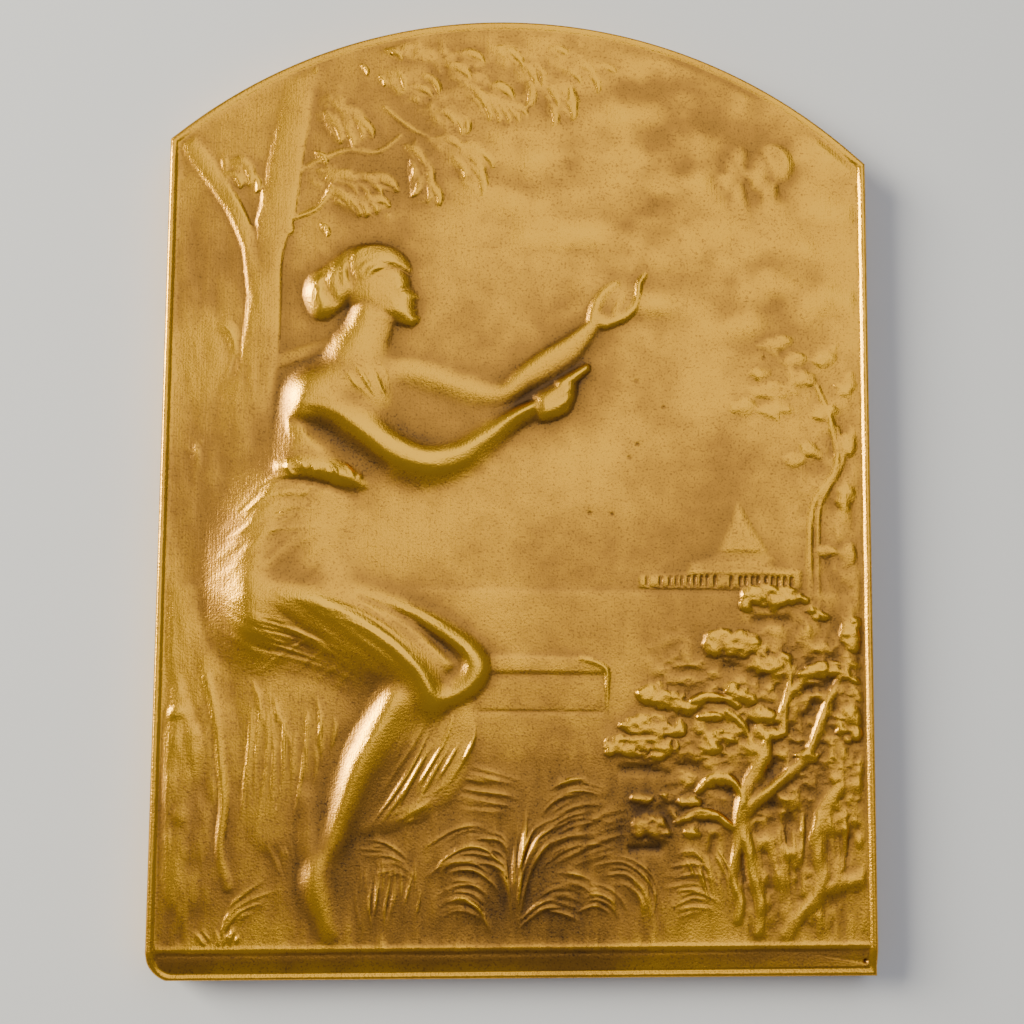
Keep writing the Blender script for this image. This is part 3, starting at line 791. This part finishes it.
relief = blend(ground, figure, 0.1 + 0.3 * body)  # the body's edges melt into the ground
to_arch = arch_radius - np.hypot(grid_x, grid_y - arch_centre)
to_rim = np.minimum(half_width - np.abs(grid_x), to_arch) - RIM_WIDTH
above_band = ramp(grid_y, BAND_TOP - 0.35, BAND_TOP + 0.1)
ledge = 0.05 * crease_section(np.abs(grid_y - BAND_TOP - 0.1) / 0.3)
surface = FIELD + relief * above_band * ramp(to_rim, 0, 0.7) - BAND_DROP * (1 - above_band) + ledge
beside = surface[:-2, 1:-1] + surface[2:, 1:-1] + surface[1:-1, :-2] + surface[1:-1, 2:]
surface[1:-1, 1:-1] = (4 * surface[1:-1, 1:-1] + beside) / 8
surface += 0.012 * noise(1.6, 1.6, 31, 3) * above_band  # the blank is never quite flat
for x, y, depth in [  # a pit beside the lower corner, and small ones in the field
    (25.05, 1.05, 0.2), (4.95, 33.05, 0.06), (6.6, 33, 0.06), (8.5, 38.2, 0.07), (7.9, 37.2, 0.06),
    (10.45, 41, 0.06), (8.4, 42.9, 0.06), (18, 44.85, 0.06),
]:
    surface -= depth * crease_section(np.hypot(grid_x - x, grid_y - y) / 0.25)
surface = np.minimum(surface, high.z / MM)

hollow = (spread(surface, 5) - surface) / 0.3 + (spread(surface, 16) - surface) / 0.6
among_blades = low_ground * ramp(grid_x, 14, 8) * ramp(grid_y, 1, 3)
hollow = np.clip(hollow + 0.35 * among_blades, -1, 1)  # above 0 in recesses, below 0 on crests

bm = bmesh.new()
bmesh.ops.create_grid(bm, x_segments=COLUMNS, y_segments=ROWS, size=0.5)
mesh = bpy.data.meshes.new("plaquette_struck")
bm.to_mesh(mesh)
bm.free()
corners = np.empty(len(mesh.vertices) * 3)
mesh.vertices.foreach_get("co", corners)
corners = corners.reshape(-1, 3)
col = np.rint((corners[:, 0] + 0.5) * COLUMNS).astype(int)
row = np.rint((corners[:, 1] + 0.5) * ROWS).astype(int)
corners[:, 0] = grid_x[row, col] * MM
corners[:, 1] = (grid_y[row, col] - HEIGHT / 2) * MM
corners[:, 2] = surface[row, col] * MM
mesh.vertices.foreach_set("co", corners.ravel())
recess = mesh.attributes.new("recess", "FLOAT", "POINT")
recess.data.foreach_set("value", hollow[row, col])


def put_in(name, data):
    """A new object, set in the scene."""
    piece = bpy.data.objects.new(name, data)
    bpy.context.scene.collection.objects.link(piece)
    return piece


plaquette = put_in("plaquette_struck", mesh)
lighten = plaquette.modifiers.new("lighten", "DECIMATE")
lighten.ratio = TRIANGLES / (2 * COLUMNS * ROWS)
bpy.context.view_layer.update()
mesh = bpy.data.meshes.new_from_object(plaquette.evaluated_get(bpy.context.evaluated_depsgraph_get()))
plaquette.modifiers.clear()

# Rim, edge and back are drawn on from the field's border, ring by ring.
bm = bmesh.new()
bm.from_mesh(mesh)
share_layer_u = bm.verts.layers.float.new("share_u")
share_layer_v = bm.verts.layers.float.new("share_v")
recess_layer = bm.verts.layers.float["recess"]
border = [e for e in bm.edges if e.is_boundary]
for vert in {v for e in border for v in e.verts}:
    x, y = vert.co.x / MM, vert.co.y / MM + HEIGHT / 2
    vert[share_layer_u] = min(max(0.5 + 0.5 * x / (half_width - RIM_WIDTH), 0), 1)
    (_, bottom), (_, top) = (place(vert[share_layer_u], share, RIM_WIDTH) for share in (0, 1))
    vert[share_layer_v] = min(max((y - bottom) / (top - bottom), 0), 1)


def rim_drop(y):
    """How far the rim steps down beside the band."""
    return float(ramp(y, BAND_TOP, 0.3)) * (BAND_DROP + 0.25)


SHOULDERS = (59.5, 61)  # heights at which the straight sides go over into the arch
rings = [  # inset, height at the rim, how much of the rim's drop beside the band it takes
    (0.5, 2.77, 1), (0.42, 2.83, 1), (0.34, 2.88, 1), (0.25, 2.91, 1), (0.14, 2.91, 1), (0.0, 2.84, 1),
    (0.0, 2.7, 1), (0.0, 1.4, 0), (0.0, 0.3, 0), (0.08, 0.1, 0), (0.22, 0.0, 0), (2.1, 0.0, 0),
    (2.3, 0.05, 0), (2.4, 0.15, 0),
]
for inset, height, share in rings:
    made = bmesh.ops.extrude_edge_only(bm, edges=border)["geom"]
    for vert in (g for g in made if isinstance(g, bmesh.types.BMVert)):
        x, y = place(vert[share_layer_u], vert[share_layer_v], inset)
        # The fillet is lower over the arch
        softer = 1 - 0.6 * float(ramp(y, *SHOULDERS)) if height > FIELD else 1
        z = FIELD + (height - FIELD) * softer - share * rim_drop(y)
        vert.co = Vector((x, y - HEIGHT / 2, z)) * MM
        vert[recess_layer] = -0.3  # handling keeps the edge bright
    border = [g for g in made if isinstance(g, bmesh.types.BMEdge) and g.is_boundary]
bmesh.ops.contextual_create(bm, geom=border)
bmesh.ops.recalc_face_normals(bm, faces=bm.faces)
bm.to_mesh(mesh)
bm.free()

plaquette.data = mesh
for face in mesh.polygons:
    face.use_smooth = face.normal.z > -0.5  # the plain back keeps its flat faces
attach(plaquette, "root")
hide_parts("plaquette")


def adjust(node, settings):
    for name, value in settings.items():
        node.inputs[name].default_value = value


gilt = bpy.data.materials.new("gilt_bronze")
gilt.use_nodes = True
nodes, links = gilt.node_tree.nodes, gilt.node_tree.links
shader = nodes["Principled BSDF"]
adjust(shader, {"Metallic": 1.0})
position = nodes.new("ShaderNodeTexCoord")


def speckle(size_mm, detail, stretch=(1, 1, 1)):
    """Uneven spots of about the given size, drawn out along the axes whose stretch is small."""
    drawn_out = nodes.new("ShaderNodeMapping")
    adjust(drawn_out, {"Scale": stretch})
    links.new(position.outputs["Object"], drawn_out.inputs["Vector"])
    spots = nodes.new("ShaderNodeTexNoise")
    adjust(spots, {"Scale": 1 / (size_mm * MM), "Detail": detail})
    links.new(drawn_out.outputs["Vector"], spots.inputs["Vector"])
    return spots.outputs["Fac"]


def remap(value, *limits):
    """A value moved from between the first two limits to between the last two."""
    node = nodes.new("ShaderNodeMapRange")
    adjust(node, dict(zip(("From Min", "From Max", "To Min", "To Max"), limits)))
    links.new(value, node.inputs["Value"])
    return node.outputs["Result"]


def combine(first, second, operation="ADD"):
    node = nodes.new("ShaderNodeMath")
    node.operation = operation
    for socket, value in zip(node.inputs, (first, second)):
        if isinstance(value, (int, float)):
            socket.default_value = value
        else:
            links.new(value, socket)
    return node.outputs["Value"]


# Patina lies in the recesses and in cloudy patches, and the crests are rubbed bright
depth = nodes.new("ShaderNodeAttribute")
depth.attribute_name = "recess"
patches = remap(speckle(9, 2), 0.3, 0.7, -0.12, 0.12)
specks = remap(speckle(0.16, 2), 0.54, 0.74, 0, 0.2)
mottle = remap(speckle(1.4, 3), 0.35, 0.65, -0.03, 0.03)
dirt = combine(combine(remap(depth.outputs["Fac"], -1, 1, 0, 1), patches), combine(specks, mottle))
tone = nodes.new("ShaderNodeValToRGB")
stops = tone.color_ramp.elements
stops[0].position, stops[1].position = 0.1, 0.95
stops.new(0.45)
stops.new(0.62)
gold_to_brown = [(0.92, 0.48, 0.03), (0.77, 0.38, 0.026), (0.43, 0.2, 0.03), (0.1, 0.052, 0.02)]
for stop, colour in zip(stops, gold_to_brown):
    stop.color = (*colour, 1)
links.new(dirt, tone.inputs["Fac"])
links.new(tone.outputs["Color"], shader.inputs["Base Color"])
links.new(remap(dirt, 0.3, 0.8, 0.22, 0.36), shader.inputs["Roughness"])
# The struck surface is finely granular, with wipe marks drawn down it
bump = nodes.new("ShaderNodeBump")
adjust(bump, {"Strength": 0.6, "Distance": 0.034 * MM})
wipe_marks = combine(speckle(0.12, 1, (1, 0.03, 1)), 0.5, "MULTIPLY")
links.new(combine(speckle(0.14, 3), wipe_marks), bump.inputs["Height"])
links.new(bump.outputs["Normal"], shader.inputs["Normal"])
mesh.materials.append(gilt)

# ---- Table, light and camera ----
# A pale matt table under soft studio light: a window on the left and a wide ceiling over it all. The camera
# looks down from almost straight above.

TABLE_HALF = 1.5

bm = bmesh.new()
bmesh.ops.create_grid(bm, x_segments=1, y_segments=1, size=TABLE_HALF)
table_mesh = bpy.data.meshes.new("table")
bm.to_mesh(table_mesh)
bm.free()
table = put_in("table", table_mesh)
pale = bpy.data.materials.new("pale_table")
pale.use_nodes = True
adjust(pale.node_tree.nodes["Principled BSDF"], {"Base Color": (0.62, 0.62, 0.61, 1), "Roughness": 0.8})
table_mesh.materials.append(pale)


def soft_light(name, place_mm, aim_mm, size_mm, watts, colour=(1, 1, 1)):
    lamp = bpy.data.lights.new(name, "AREA")
    lamp.shape = "RECTANGLE"
    lamp.size, lamp.size_y = size_mm[0] * MM, size_mm[1] * MM
    lamp.energy = watts
    lamp.color = colour
    holder = put_in(name, lamp)
    spot, aim = Vector(place_mm) * MM, Vector(aim_mm) * MM
    turn = (spot - aim).to_track_quat("Z", "Y").to_matrix().to_4x4()
    holder.matrix_world = Matrix.Translation(spot) @ turn


soft_light("window", (-420, 150, 250), (0, 0, 0), (260, 260), 6, (1, 0.96, 0.82))
soft_light("ceiling", (125, 395, 450), (125, 395, 0), (450, 930), 1.62)

world = bpy.data.worlds.new("room")
world.use_nodes = True
adjust(world.node_tree.nodes["Background"], {"Color": (0.9, 0.94, 1.15, 1), "Strength": 0.27})
bpy.context.scene.world = world

EYE = (-10.26, 21.3 - HEIGHT / 2, 113.1)
lens = bpy.data.cameras.new("camera")
lens.lens = 54.0
lens.sensor_width = 36.0
lens.clip_start = 0.01
camera = put_in("camera", lens)
right = Vector((0.9962, 0.0075, 0.0869)).normalized()
ahead = Vector((0.0856, 0.1055, -0.9907)).normalized()
up = right.cross(ahead).normalized()
right = ahead.cross(up)
turn = Matrix((right, up, -ahead)).transposed().to_4x4()
camera.matrix_world = Matrix.Translation(Vector(EYE) * MM) @ turn
bpy.context.scene.camera = camera
